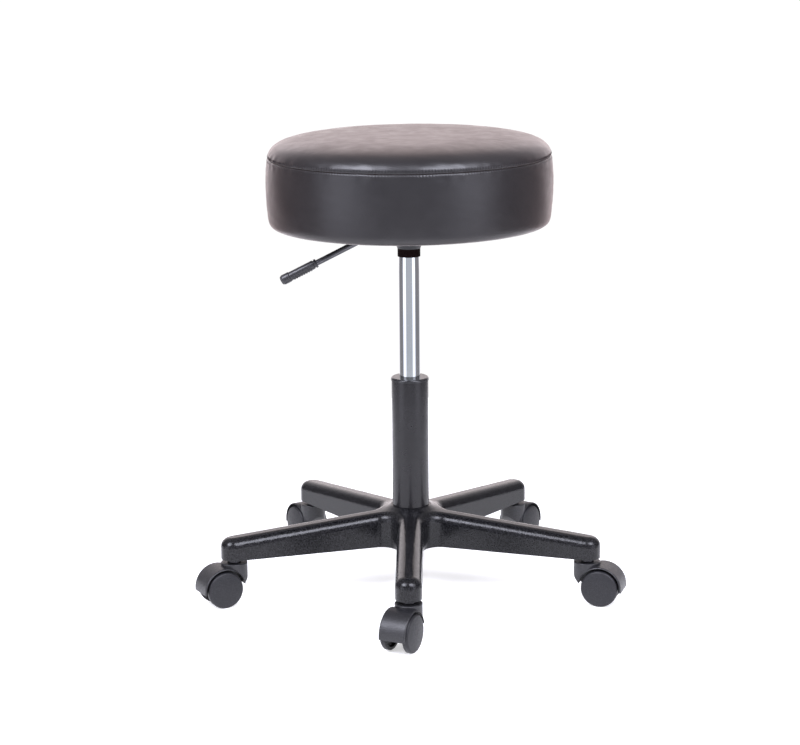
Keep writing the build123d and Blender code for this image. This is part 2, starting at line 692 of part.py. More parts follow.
single_parts = {
    "star_base": make_star_base,
    "column_tube": make_column_tube,
    "tube_end_plate": make_tube_end_plate,
    "lower_bearing_race": make_lower_race,
    "bearing_balls": make_bearing_balls,
    "ball_cage": make_ball_cage,
    "guide_bushing": make_guide_bushing,
    "piston_rod": make_piston_rod,
    "retaining_clip": make_retaining_clip,
    "upper_bearing_race": make_upper_race,
    "rubber_buffer": make_rubber_buffer,
    "piston": make_piston,
    "piston_seal": make_piston_seal,
    "pressure_cylinder": make_pressure_cylinder,
    "rod_guide": make_rod_guide,
    "rod_seal": make_rod_seal,
    "inner_tube": make_inner_tube,
    "valve_body": make_valve_body,
    "release_pin": make_release_pin,
    "rubber_collar": make_rubber_collar,
    "taper_socket": make_taper_socket,
    "seat_plate": make_seat_plate,
    "lever_bracket": make_lever_bracket,
    "lever_pivot_pin": make_lever_pivot_pin,
    "lever_rod": make_lever_rod,
    "lever_grip": make_lever_grip,
    "seat_board": make_seat_board,
    "seat_foam": make_seat_foam,
    "cover_top_panel": make_cover_top_panel,
    "cover_side_band": make_cover_side_band,
    "dust_cover": make_dust_cover,
    "staples": make_staples,
    "t_nuts": make_t_nuts,
    "seat_washers": make_seat_washers,
    "seat_bolts": make_seat_bolts,
}
for part_name, make in single_parts.items():
    save(part_name, make())

caster_body = make_caster_body()
left_wheel = make_caster_wheel()
right_wheel = mirror(left_wheel, Plane.XZ)
axle = make_caster_axle()
for index, leg_name in enumerate(LEG_NAMES):
    place = caster_place(index)
    save("caster_" + leg_name + "_body", place * caster_body)
    save("caster_" + leg_name + "_left_wheel", place * left_wheel)
    save("caster_" + leg_name + "_right_wheel", place * right_wheel)
    save("caster_" + leg_name + "_axle", place * axle)

places = [caster_place(index) for index in range(LEG_COUNT)]
save("caster_stems", Compound(children=[place * make_stem() for place in places]))
save("stem_grip_rings", Compound(children=[place * make_grip_ring() for place in places]))
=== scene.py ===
import bpy
import json
import math
import numpy as np
from mathutils import Matrix, Vector


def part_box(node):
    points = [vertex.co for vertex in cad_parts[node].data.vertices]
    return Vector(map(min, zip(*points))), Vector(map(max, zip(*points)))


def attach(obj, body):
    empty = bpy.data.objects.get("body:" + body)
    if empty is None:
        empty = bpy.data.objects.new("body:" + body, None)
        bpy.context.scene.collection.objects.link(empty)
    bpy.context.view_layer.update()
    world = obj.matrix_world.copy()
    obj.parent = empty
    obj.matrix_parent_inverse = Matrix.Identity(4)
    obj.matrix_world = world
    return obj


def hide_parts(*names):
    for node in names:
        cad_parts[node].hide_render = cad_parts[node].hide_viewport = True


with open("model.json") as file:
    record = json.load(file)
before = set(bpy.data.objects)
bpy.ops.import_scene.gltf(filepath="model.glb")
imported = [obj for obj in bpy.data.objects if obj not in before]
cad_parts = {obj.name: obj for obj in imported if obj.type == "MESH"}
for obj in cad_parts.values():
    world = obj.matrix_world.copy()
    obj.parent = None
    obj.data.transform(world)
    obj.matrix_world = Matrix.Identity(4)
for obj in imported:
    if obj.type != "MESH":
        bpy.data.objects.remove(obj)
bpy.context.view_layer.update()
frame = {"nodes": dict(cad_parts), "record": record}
NODES = frame["nodes"]
MM = 0.001

# ---- camera -----------------------------------------------------------------
# Where the camera stands, seen from the stool, in metres and degrees.
CAMERA_DISTANCE = 2.946
CAMERA_HEIGHT = 0.976
CAMERA_AROUND = 0.87
CAMERA_PITCH = 12.91
CAMERA_YAW = 0.26
CAMERA_ROLL = 0.49
LENS_MM = 100.26
SENSOR_MM = 36.0
FAR_CLIP = 50.0


def make_camera():
    data = bpy.data.cameras.new("camera")
    data.lens = LENS_MM
    data.sensor_width = SENSOR_MM
    data.clip_end = FAR_CLIP
    camera = bpy.data.objects.new("camera", data)
    bpy.context.scene.collection.objects.link(camera)
    turn = Matrix.Rotation(math.radians(CAMERA_AROUND), 4, "Z")
    place = Matrix.Translation((0, -CAMERA_DISTANCE, CAMERA_HEIGHT))
    yaw = Matrix.Rotation(math.radians(CAMERA_YAW), 4, "Z")
    tilt = Matrix.Rotation(math.radians(90 - CAMERA_PITCH), 4, "X")
    roll = Matrix.Rotation(math.radians(-CAMERA_ROLL), 4, "Z")
    camera.matrix_world = turn @ place @ yaw @ tilt @ roll
    bpy.context.scene.camera = camera


# ---- lights and floor ---------------------------------------------------------
BACKDROP_COLOUR = (1.0, 0.82, 0.76)
LOW_BACK_COLOUR = (0.98, 0.93, 0.98)
SOFTBOX_COLOUR = (0.86, 0.87, 1.0)
FRONT_COLOUR = (0.84, 0.90, 1.0)
CEILING_COLOUR = (1, 1, 1)
AMBIENT_COLOUR = (0.29, 0.275, 0.295)
SEEN_WHITE = 1.02
FLOOR_REACH = 1.1
FLOOR_CORNERS = 64
FLOOR_GREY = 0.84
FLOOR_GLOW = 0.50

# Sockets of the Mix node when it mixes colours.
MIX_SHARE = 0
MIX_LOW = 6
MIX_HIGH = 7
MIX_RESULT = 2


class Surroundings:
    """The studio's walls as soft patches of light on the world, each about a direction."""

    def __init__(self, ambient):
        world = bpy.data.worlds.new("studio")
        bpy.context.scene.world = world
        world.use_nodes = True
        self.tree = world.node_tree
        self.look = self.tree.nodes.new("ShaderNodeTexCoord").outputs["Generated"]
        self.total = self.tree.nodes.new("ShaderNodeRGB").outputs["Color"]
        self.total.default_value = (*ambient, 1)

    def patch(self, direction, colour, strength, edge, full):
        """Light that rises from nothing at the cosine edge to full strength at the cosine full."""
        nodes = self.tree.nodes
        cosine = nodes.new("ShaderNodeVectorMath")
        cosine.operation = "DOT_PRODUCT"
        self.tree.links.new(self.look, cosine.inputs[0])
        cosine.inputs[1].default_value = Vector(direction).normalized()
        rise = nodes.new("ShaderNodeMapRange")
        rise.interpolation_type = "SMOOTHSTEP"
        rise.inputs["From Min"].default_value = edge
        rise.inputs["From Max"].default_value = full
        self.tree.links.new(cosine.outputs["Value"], rise.inputs["Value"])
        tint = nodes.new("ShaderNodeVectorMath")
        tint.operation = "SCALE"
        tint.inputs[0].default_value = [strength * part for part in colour]
        self.tree.links.new(rise.outputs["Result"], tint.inputs["Scale"])
        both = nodes.new("ShaderNodeVectorMath")
        both.operation = "ADD"
        self.tree.links.new(self.total, both.inputs[0])
        self.tree.links.new(tint.outputs["Vector"], both.inputs[1])
        self.total = both.outputs["Vector"]

    def finish(self):
        """The camera sees a plain white backdrop where the light on the stool comes from patches."""
        nodes = self.tree.nodes
        seen = nodes.new("ShaderNodeMix")
        seen.data_type = "RGBA"
        seen.inputs[MIX_HIGH].default_value = (SEEN_WHITE, SEEN_WHITE, SEEN_WHITE, 1)
        camera_ray = nodes.new("ShaderNodeLightPath").outputs["Is Camera Ray"]
        self.tree.links.new(camera_ray, seen.inputs[MIX_SHARE])
        self.tree.links.new(self.total, seen.inputs[MIX_LOW])
        self.tree.links.new(seen.outputs[MIX_RESULT], nodes["Background"].inputs["Color"])


def around_and_up(azimuth, elevation):
    """Direction at an angle to the right of the camera's side and an angle above the floor."""
    a = math.radians(azimuth)
    e = math.radians(elevation)
    return (math.sin(a) * math.cos(e), -math.cos(a) * math.cos(e), math.sin(e))


def make_surroundings():
    """A warm backdrop, a softbox high on either side, and weak light from in front and above."""
    walls = Surroundings(AMBIENT_COLOUR)
    walls.patch(around_and_up(180, 13), BACKDROP_COLOUR, strength=0.50, edge=0.84, full=0.985)
    walls.patch(around_and_up(180, -18), LOW_BACK_COLOUR, strength=0.85, edge=0.66, full=0.93)
    for side in (153, -153):
        walls.patch(around_and_up(side, 14), LOW_BACK_COLOUR, strength=0.85, edge=0.90, full=0.975)
    walls.patch(around_and_up(0, -14), FRONT_COLOUR, strength=0.36, edge=0.60, full=0.97)
    walls.patch(around_and_up(0, 90), CEILING_COLOUR, strength=0.24, edge=0.2, full=0.95)
    for side, inner, low in ((-55, -44, 1.1), (52, 31, 0.88)):
        walls.patch(around_and_up(side, 4), SOFTBOX_COLOUR, strength=1.3, edge=0.93, full=0.98)
        walls.patch(around_and_up(side, 38), SOFTBOX_COLOUR, strength=5.0, edge=0.955, full=0.985)
        walls.patch(around_and_up(inner, 45), SOFTBOX_COLOUR, strength=13.0, edge=0.955, full=0.985)
        walls.patch(around_and_up(side, -13), SOFTBOX_COLOUR, strength=low, edge=0.92, full=0.975)
    walls.finish()


def make_floor():
    """A pale floor that glows a little, so that it stays as white as the backdrop."""
    mesh = bpy.data.meshes.new("floor")
    corners = []
    for index in range(FLOOR_CORNERS):
        angle = 2 * math.pi * index / FLOOR_CORNERS
        corners.append((FLOOR_REACH * math.cos(angle), FLOOR_REACH * math.sin(angle), 0))
    mesh.from_pydata(corners, [], [tuple(range(FLOOR_CORNERS))])
    floor = bpy.data.objects.new("floor", mesh)
    bpy.context.scene.collection.objects.link(floor)
    coat = bpy.data.materials.new("floor_paint")
    coat.use_nodes = True
    shader = coat.node_tree.nodes["Principled BSDF"]
    shader.inputs["Base Color"].default_value = (FLOOR_GREY, FLOOR_GREY, FLOOR_GREY, 1)
    shader.inputs["Roughness"].default_value = 0.9
    shader.inputs["Specular IOR Level"].default_value = 0.0
    shader.inputs["Emission Color"].default_value = (1, 1, 1, 1)
    shader.inputs["Emission Strength"].default_value = FLOOR_GLOW
    mesh.materials.append(coat)


def make_studio():
    bpy.context.scene.view_settings.view_transform = "Standard"
    make_surroundings()
    make_floor()


# ---- materials ---------------------------------------------------------------
class Shader:
    """A Principled material with helpers for procedural detail."""

    def __init__(self, name, colour, roughness, metallic=0.0, **extra):
        self.material = bpy.data.materials.new(name)
        self.material.use_nodes = True
        self.tree = self.material.node_tree
        self.main = self.tree.nodes["Principled BSDF"]
        self.place = self.tree.nodes.new("ShaderNodeTexCoord").outputs["Object"]
        self.main.inputs["Base Color"].default_value = (*colour, 1)
        self.main.inputs["Roughness"].default_value = roughness
        self.main.inputs["Metallic"].default_value = metallic
        for socket, value in extra.items():
            self.main.inputs[socket.replace("_", " ")].default_value = value
        self.normal = None

    def link(self, source, target):
        self.tree.links.new(source, target)

    def noise(self, scale, detail=3.0, stretch=None, roughness=0.55):
        node = self.tree.nodes.new("ShaderNodeTexNoise")
        node.inputs["Scale"].default_value = scale
        node.inputs["Detail"].default_value = detail
        node.inputs["Roughness"].default_value = roughness
        self.link(self.stretched(stretch), node.inputs["Vector"])
        return node.outputs["Fac"]

    def cells(self, scale, feature="DISTANCE_TO_EDGE", smooth=None):
        node = self.tree.nodes.new("ShaderNodeTexVoronoi")
        node.feature = feature
        node.inputs["Scale"].default_value = scale
        if smooth is not None:
            node.inputs["Smoothness"].default_value = smooth
        self.link(self.place, node.inputs["Vector"])
        return node.outputs["Distance"]

    def stretched(self, stretch):
        if stretch is None:
            return self.place
        node = self.tree.nodes.new("ShaderNodeMapping")
        node.inputs["Scale"].default_value = stretch
        self.link(self.place, node.inputs["Vector"])
        return node.outputs["Vector"]

    def ramp(self, source, low, high, out_low, out_high):
        node = self.tree.nodes.new("ShaderNodeMapRange")
        node.inputs["From Min"].default_value = low
        node.inputs["From Max"].default_value = high
        node.inputs["To Min"].default_value = out_low
        node.inputs["To Max"].default_value = out_high
        self.link(source, node.inputs["Value"])
        return node.outputs["Result"]

    def colour_between(self, source, low_colour, high_colour, low=0.3, high=0.7):
        node = self.tree.nodes.new("ShaderNodeMix")
        node.data_type = "RGBA"
        node.inputs[MIX_LOW].default_value = (*low_colour, 1)
        node.inputs[MIX_HIGH].default_value = (*high_colour, 1)
        self.link(self.ramp(source, low, high, 0.0, 1.0), node.inputs[MIX_SHARE])
        self.link(node.outputs[MIX_RESULT], self.main.inputs["Base Color"])

    def roughness_between(self, source, low_value, high_value, low=0.3, high=0.7):
        self.link(self.ramp(source, low, high, low_value, high_value), self.main.inputs["Roughness"])

    def bump(self, source, depth_mm, strength=1.0):
        node = self.tree.nodes.new("ShaderNodeBump")
        node.inputs["Strength"].default_value = strength
        node.inputs["Distance"].default_value = depth_mm * MM
        self.link(source, node.inputs["Height"])
        if self.normal is not None:
            self.link(self.normal, node.inputs["Normal"])
        self.normal = node.outputs["Normal"]
        self.link(self.normal, self.main.inputs["Normal"])


def vinyl():
    s = Shader("black_vinyl", (0.013, 0.0125, 0.014), 0.34, Specular_IOR_Level=0.5,
               Sheen_Weight=0.13, Sheen_Roughness=0.4, Sheen_Tint=(1.0, 0.52, 0.40, 1))
    broad = s.noise(9.0, 3.0)
    s.colour_between(broad, (0.0095, 0.009, 0.0105), (0.0165, 0.0155, 0.017))
    s.roughness_between(s.noise(60.0, 4.0), 0.28, 0.37)
    s.bump(s.noise(55.0, 3.0), 0.28, 0.35)
    s.bump(s.ramp(s.cells(620.0), 0.0, 0.22, 0.0, 1.0), 0.05, 0.55)
    s.bump(s.noise(1500.0, 2.0), 0.03, 0.4)
    return s.material


def nylon(name, dark, light, scale, roughness, depth, specular):
    s = Shader(name, dark, roughness[0], Specular_IOR_Level=specular)
    grain = s.noise(scale, 2.0, roughness=0.7)
    s.colour_between(grain, dark, light, 0.42, 0.66)
    s.roughness_between(s.noise(scale * 0.4, 3.0), roughness[0], roughness[1])
    s.bump(s.cells(scale * 0.8, "SMOOTH_F1", 0.6), depth, 0.6)
    s.bump(s.noise(scale * 1.6, 2.0), depth * 0.6, 0.5)
    return s.material


def paint(name, colour, light, roughness):
    s = Shader(name, colour, roughness, Specular_IOR_Level=0.36)
    s.colour_between(s.noise(14.0, 4.0), colour, light)
    s.roughness_between(s.noise(90.0, 4.0), roughness * 0.85, roughness * 1.2)
    s.bump(s.noise(420.0, 2.0), 0.022, 0.35)
    s.bump(s.cells(1500.0, "SMOOTH_F1", 0.8), 0.012, 0.3)
    return s.material


def chrome():
    s = Shader("chrome", (0.68, 0.72, 0.74), 0.06, metallic=1.0)
    s.colour_between(s.noise(20.0, 3.0), (0.65, 0.70, 0.73), (0.72, 0.75, 0.76))
    s.roughness_between(s.noise(900.0, 3.0, stretch=(1, 1, 0.02)), 0.04, 0.10)
    s.bump(s.noise(1400.0, 2.0, stretch=(1, 1, 0.03)), 0.006, 0.3)
    return s.material


def steel(name, dark, light, roughness):
    s = Shader(name, dark, roughness, metallic=1.0)
    s.colour_between(s.noise(60.0, 4.0), dark, light)
    s.roughness_between(s.noise(300.0, 4.0), roughness * 0.8, roughness * 1.3)
    s.bump(s.noise(1800.0, 3.0, stretch=(1, 1, 0.15)), 0.015, 0.4)
    return s.material


def rubber():
    s = Shader("black_rubber", (0.007, 0.004, 0.004), 0.55, Specular_IOR_Level=0.02)
    s.colour_between(s.noise(50.0, 3.0), (0.006, 0.003, 0.003), (0.010, 0.005, 0.005))
    s.roughness_between(s.noise(400.0, 3.0), 0.48, 0.66)
    s.bump(s.noise(1200.0, 3.0), 0.03, 0.4)
    return s.material


def plastic(name, dark, light, roughness):
    s = Shader(name, dark, roughness)
    s.colour_between(s.noise(40.0, 3.0), dark, light)
    s.roughness_between(s.noise(250.0, 3.0), roughness * 0.85, roughness * 1.2)
    s.bump(s.noise(1100.0, 2.0), 0.02, 0.4)
    return s.material


def plywood():
    s = Shader("plywood", (0.5, 0.36, 0.22), 0.6)
    grain = s.noise(18.0, 5.0, stretch=(1, 9, 60))
    s.colour_between(grain, (0.42, 0.28, 0.16), (0.62, 0.47, 0.30))
    s.roughness_between(s.noise(80.0, 4.0, stretch=(1, 8, 1)), 0.5, 0.72)
    s.bump(s.noise(120.0, 5.0, stretch=(1, 12, 4)), 0.15, 0.4)
    return s.material


def foam():
    s = Shader("yellow_foam", (0.70, 0.62, 0.40), 0.9)
    s.colour_between(s.noise(30.0, 4.0), (0.66, 0.57, 0.35), (0.80, 0.72, 0.50))
    s.bump(s.cells(450.0, "SMOOTH_F1", 0.3), 0.5, 0.8)
    return s.material


def dust_cloth():
    s = Shader("dust_cloth", (0.02, 0.02, 0.021), 0.85, Sheen_Weight=0.25, Sheen_Roughness=0.6)
    fibres = s.noise(700.0, 3.0, stretch=(1, 0.25, 1))
    s.colour_between(fibres, (0.014, 0.014, 0.015), (0.036, 0.035, 0.036))
    s.bump(s.noise(900.0, 3.0, stretch=(1, 0.3, 1)), 0.12, 0.6)
    s.bump(s.cells(380.0, "SMOOTH_F1", 0.4), 0.08, 0.5)
    return s.material


def thread():
    s = Shader("black_thread", (0.012, 0.012, 0.013), 0.5, Sheen_Weight=0.3)
    s.colour_between(s.noise(900.0, 2.0), (0.008, 0.008, 0.009), (0.024, 0.023, 0.025))
    s.bump(s.noise(3200.0, 2.0), 0.04, 0.6)
    return s.material


def make_nylons():
    return {
        "base_nylon": nylon(
            "base_nylon", (0.002, 0.002, 0.0025), (0.016, 0.016, 0.018),
            scale=520.0, roughness=(0.15, 0.27), depth=0.15, specular=0.29,
        ),
        "caster_nylon": nylon(
            "caster_nylon", (0.006, 0.006, 0.007), (0.019, 0.019, 0.022),
            scale=700.0, roughness=(0.34, 0.48), depth=0.18, specular=0.5,
        ),
        "wheel_nylon": nylon(
            "wheel_nylon", (0.008, 0.008, 0.0095), (0.019, 0.019, 0.022),
            scale=900.0, roughness=(0.40, 0.54), depth=0.08, specular=0.33,
        ),
    }


def make_materials():
    """Every slot's material, by the name of its slot."""
    return {
        "vinyl": vinyl(),
        "foam": foam(),
        "plywood": plywood(),
        "dust_cloth": dust_cloth(),
        **make_nylons(),
        "bushing_plastic": plastic(
            "black_acetal", (0.010, 0.010, 0.011), (0.018, 0.018, 0.020), roughness=0.22
        ),
        "grip_plastic": plastic(
            "grip_plastic", (0.022, 0.022, 0.025), (0.038, 0.038, 0.042), roughness=0.34
        ),
        "column_paint": paint(
            "column_paint", (0.006, 0.0055, 0.0065), (0.011, 0.0105, 0.012), roughness=0.24
        ),
        "plate_paint": paint(
            "plate_paint", (0.014, 0.014, 0.016), (0.024, 0.024, 0.027), roughness=0.4
        ),
        "lever_steel": steel("dark_steel", (0.06, 0.06, 0.065), (0.13, 0.13, 0.14), roughness=0.34),
        "chrome": chrome(),
        "plain_steel": steel("zinc_steel", (0.48, 0.48, 0.50), (0.62, 0.62, 0.63), roughness=0.3),
        "rubber": rubber(),
        "thread": thread(),
    }


# Nodes with another slot's finish, as painted shade: the caster stems get the dark lever steel so that
# they read as dark as the shadowed gap under the leg tips.
PAINTED_SHADE_FINISH = {"caster_stems": "lever_steel"}


def paint_nodes(materials):
    """Give every CAD node the procedural material of its slot."""
    for row in frame["record"]["subparts"]:
        mesh = NODES[row["node"]].data
        mesh.materials.clear()
        # Painted shade: the caster stems take the dark lever steel in place of their own finish.
        finish = PAINTED_SHADE_FINISH.get(row["node"], row["material_slot"])
        mesh.materials.append(materials[finish])


# ---- the seat's soft parts -----------------------------------------------------
# Heights and radii in millimetres, as in the CAD part; meshes are made in metres.
STITCHES = 288
SEGMENTS = 4 * STITCHES
WRAP_RADIUS = 150.0
SEAM_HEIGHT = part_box("cover_top_panel")[0][2] / MM
SEAT_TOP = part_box("cover_top_panel")[1][2] / MM
BOARD_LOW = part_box("seat_board")[0][2] / MM
BOARD_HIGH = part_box("seat_board")[1][2] / MM
BOARD_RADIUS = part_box("seat_board")[1][0] / MM
DUST_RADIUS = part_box("dust_cover")[1][0] / MM
SKIN = 1.0
WRAP_LOW = BOARD_LOW - SKIN
RIM_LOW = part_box("cover_side_band")[0][2] / MM
SIDE_RADIUS = 191.0
SEAM_RADIUS = 188.2

# Outside of the side band, from the edge stapled under the board up to the seam.
BAND_OUTLINE = (
    (WRAP_RADIUS, WRAP_LOW),
    (158.0, WRAP_LOW),
    (165.5, WRAP_LOW - 0.1),
    (172.0, RIM_LOW + 1.0),
    (177.5, RIM_LOW),
    (182.3, RIM_LOW + 0.7),
    (186.0, RIM_LOW + 3.4),
    (188.2, RIM_LOW + 8.6),
    (189.5, RIM_LOW + 18.0),
    (190.5, RIM_LOW + 31.0),
    (SIDE_RADIUS, RIM_LOW + 46.0),
    (SIDE_RADIUS, RIM_LOW + 61.0),
    (190.3, RIM_LOW + 76.0),
    (189.3, RIM_LOW + 85.5),
    (SEAM_RADIUS, SEAM_HEIGHT),
)
# Outside of the top panel, from the seam in to the middle.
TOP_OUTLINE = (
    (SEAM_RADIUS, SEAM_HEIGHT),
    (187.2, SEAM_HEIGHT + 5.8),
    (183.8, SEAM_HEIGHT + 11.4),
    (177.6, SEAM_HEIGHT + 16.6),
    (167.0, SEAM_HEIGHT + 21.0),
    (150.0, SEAM_HEIGHT + 24.5),
    (126.0, SEAM_HEIGHT + 27.0),
    (96.0, SEAM_HEIGHT + 28.3),
    (62.0, SEAT_TOP - 0.1),
    (30.0, SEAT_TOP),
    (0.0, SEAT_TOP),
)


TANGENT_STEP = 0.5


class Outline:
    """A smooth half section through (radius, height) points, measured along its length."""

    def __init__(self, points, steps=24):
        knots = np.array(points)
        first = 2 * knots[0] - knots[1]
        last = 2 * knots[-1] - knots[-2]
        knots = np.vstack([first, knots, last])
        t = np.linspace(0, 1, steps, endpoint=False)[:, None]
        spans = []
        for a, b, c, d in zip(knots, knots[1:], knots[2:], knots[3:]):
            square = (2 * a - 5 * b + 4 * c - d) * t**2
            cube = (3 * b - a - 3 * c + d) * t**3
            spans.append(0.5 * (2 * b + (c - a) * t + square + cube))
        self.points = np.vstack(spans + [knots[-2:-1]])
        steps_along = np.linalg.norm(np.diff(self.points, axis=0), axis=1)
        self.lengths = np.concatenate([[0.0], np.cumsum(steps_along)])
        self.total = self.lengths[-1]

    def at(self, along):
        """Points on the outline, and the directions that stand out from it."""
        here = self._place(along)
        ahead = self._place(np.minimum(along + TANGENT_STEP, self.total))
        behind = self._place(np.maximum(along - TANGENT_STEP, 0.0))
        tangent = ahead - behind
        tangent = tangent / np.linalg.norm(tangent, axis=-1, keepdims=True)
        outward = np.stack([tangent[..., 1], -tangent[..., 0]], axis=-1)
        return here, outward

    def _place(self, along):
        radius = np.interp(along, self.lengths, self.points[:, 0])
        height = np.interp(along, self.lengths, self.points[:, 1])
        return np.stack([radius, height], axis=-1)


BAND = Outline(BAND_OUTLINE)
TOP = Outline(TOP_OUTLINE)


def turn(radius, height, angle):
    """Places in metres from radii and heights in millimetres and angles."""
    x = radius * np.cos(angle)
    y = radius * np.sin(angle)
    return np.stack([x, y, height + 0 * angle], axis=-1) * MM


# The cover was pulled on by hand, so it sits a little to one side and a little higher there.
PULLED_ASIDE = 1.3
LEAN = 0.006


def pulled(points, share=1.0):
    """Points in metres of a ring of the cover, moved to where the cover really sits."""
    points = points.copy()
    points[..., 0] += share * PULLED_ASIDE * MM
    points[..., 2] += share * LEAN * points[..., 0]
    return points


def new_piece(name, points, faces):
    mesh = bpy.data.meshes.new(name)
    mesh.from_pydata([tuple(p) for p in points], [], faces)
    mesh.validate()
    mesh.update()
    mesh.shade_smooth()
    piece = bpy.data.objects.new(name, mesh)
    bpy.context.scene.collection.objects.link(piece)
    return piece


def ring_faces(low_start, low_count, high_start, high_count):
    """Faces between two rings. The second has as many points as the first, or half."""
    faces = []
    if low_count == high_count:
        for i in range(low_count):
            j = (i + 1) % low_count
            faces.append((low_start + i, low_start + j, high_start + j, high_start + i))
        return faces
    for i in range(high_count):
        j = (i + 1) % high_count
        left = low_start + 2 * i
        middle = low_start + 2 * i + 1
        right = low_start + (2 * i + 2) % low_count
        faces.append((left, middle, high_start + i))
        faces.append((middle, right, high_start + j, high_start + i))
    return faces


def stack_rings(rings, tip=None):
    """Points and faces of a skin through rings of points, closed by a tip if there is one."""
    points = np.vstack(rings)
    faces = []
    start = 0
    for ring, following in zip(rings, rings[1:]):
        after = start + len(ring)
        faces += ring_faces(start, len(ring), after, len(following))
        start = after
    if tip is not None:
        last = len(rings[-1])
        centre = len(points)
        points = np.vstack([points, [tip]])
        for i in range(last):
            faces.append((start + i, start + (i + 1) % last, centre))
    return points, faces


def angles(count):
    return np.arange(count) * (2 * math.pi / count)


def waves(seed, count, around, upward):
    """A smooth irregular height of about -1 to 1 over angle and distance, closed round the seat."""
    rng = np.random.default_rng(seed)
    parts = []
    for _ in range(count):
        turns = int(rng.integers(around[0], around[1] + 1))
        parts.append((turns, rng.uniform(*upward), rng.uniform(0, 2 * math.pi), rng.uniform(0.5, 1.0)))

    def height(angle, along):
        total = 0.0
        for turns, pitch, phase, size in parts:
            total = total + size * np.sin(turns * angle + along * pitch + phase)
        return total / math.sqrt(count)

    return height


def hump(distance, width):
    """1 at no distance, falling smoothly to nothing a few widths away."""
    return np.exp(-((distance / width) ** 2))


def rising(here, middle, width):
    """From 0 to 1 about a middle, as smoothly as the width is large."""
    return 1 / (1 + math.exp(-(here - middle) / width))


# ---- cloth: the blown-up cover -----------------------------------------------
CLOTH_SEGMENTS = 168
CLOTH_STEP = 7.0
CLOTH_FRAMES = 20
CLOTH_PRESSURE = 4.0
CLOTH_CAP = 3.0
CLOTH_KEPT = 0.45
CLOTH_UNEVEN = 0.0016
PINNED_RADIUS = 174.0


class Swell:
    """How far the cover moves when the foam fills it: a cloth simulation on a coarse closed skin."""

    def __init__(self):
        band_rows = np.linspace(0, BAND.total, int(BAND.total / CLOTH_STEP) + 1)
        top_rows = np.linspace(0, TOP.total, int(TOP.total / CLOTH_STEP) + 1)[1:-1]
        self.rows = np.concatenate([band_rows, BAND.total + top_rows])
        angle = angles(CLOTH_SEGMENTS)
        places = [self._place(row)[0] for row in self.rows]
        uneven = waves(seed=11, count=9, around=(2, 11), upward=(0.01, 0.06))
        rings = []
        for row, (radius, height) in zip(self.rows, places):
            swell = 1.0 + CLOTH_UNEVEN * uneven(angle, row)
            rings.append(turn(radius * swell, height, angle))
        points, faces = stack_rings(rings, turn(0.0, SEAT_TOP, 0.0))
        under = turn(0.0, WRAP_LOW, 0.0)
        centre = len(points)
        points = np.vstack([points, [under]])
        for i in range(CLOTH_SEGMENTS):
            faces.append(((i + 1) % CLOTH_SEGMENTS, i, centre))
        self.moved = np.zeros((len(self.rows), CLOTH_SEGMENTS, 2))
        after = self._simulate(points, faces, places)
        count = len(self.rows) * CLOTH_SEGMENTS
        shift = (after - points)[:count].reshape(len(self.rows), CLOTH_SEGMENTS, 3) / MM
        outward = shift[..., 0] * np.cos(angle) + shift[..., 1] * np.sin(angle)
        moved = np.stack([outward, shift[..., 2]], axis=-1)
        size = np.linalg.norm(moved, axis=-1, keepdims=True)
        moved = moved * np.tanh(size / CLOTH_CAP) * CLOTH_CAP / np.maximum(size, 1e-6)
        level = moved.mean(axis=1, keepdims=True)
        self.moved = (moved - level) * CLOTH_KEPT

    def _place(self, row):
        if row <= BAND.total:
            return BAND.at(row)
        return TOP.at(row - BAND.total)

    def _simulate(self, points, faces, places):
        piece = new_piece("cloth_form", points, faces)
        group = piece.vertex_groups.new(name="held")
        for index, (radius, height) in enumerate(places):
            first = index * CLOTH_SEGMENTS
            under_board = height < WRAP_LOW + 2.0 and radius < PINNED_RADIUS
            on_seam = abs(height - SEAM_HEIGHT) < 0.5 and radius > SEAM_RADIUS - 1.0
            if under_board or on_seam:
                group.add(list(range(first, first + CLOTH_SEGMENTS)), 1.0, "REPLACE")
        group.add([len(points) - 1], 1.0, "REPLACE")
        cloth = piece.modifiers.new("cloth", "CLOTH")
        cloth.settings.vertex_group_mass = "held"
        cloth.settings.quality = 6
        cloth.settings.mass = 0.4
        cloth.settings.tension_stiffness = 60
        cloth.settings.compression_stiffness = 60
        cloth.settings.shear_stiffness = 20
        cloth.settings.bending_stiffness = 2.0
        cloth.settings.shrink_min = -0.002
        cloth.settings.use_pressure = True
        cloth.settings.uniform_pressure_force = CLOTH_PRESSURE
        cloth.settings.effector_weights.gravity = 0
        cloth.collision_settings.use_collision = False
        cloth.point_cache.frame_start = 1
        cloth.point_cache.frame_end = CLOTH_FRAMES
        scene = bpy.context.scene
        for step in range(1, CLOTH_FRAMES + 1):
            scene.frame_set(step)
        drawn = piece.evaluated_get(bpy.context.evaluated_depsgraph_get())
        after = np.array([v.co[:] for v in drawn.data.vertices])
        scene.frame_set(1)
        bpy.data.objects.remove(piece, do_unlink=True)
        return after

    def at(self, along, angle):
        """The move, outward and up, at a distance along the whole cover and an angle."""
        row = np.interp(along, self.rows, np.arange(len(self.rows)))
        low = int(min(math.floor(row), len(self.rows) - 2))
        share = row - low
        ring = self.moved[low] * (1 - share) + self.moved[low + 1] * share
        spot = angle / (2 * math.pi) * CLOTH_SEGMENTS
        left = np.floor(spot).astype(int) % CLOTH_SEGMENTS
        right = (left + 1) % CLOTH_SEGMENTS
        part = (spot - np.floor(spot))[:, None]
        part = part * part * (3 - 2 * part)
        return ring[left] * (1 - part) + ring[right] * part


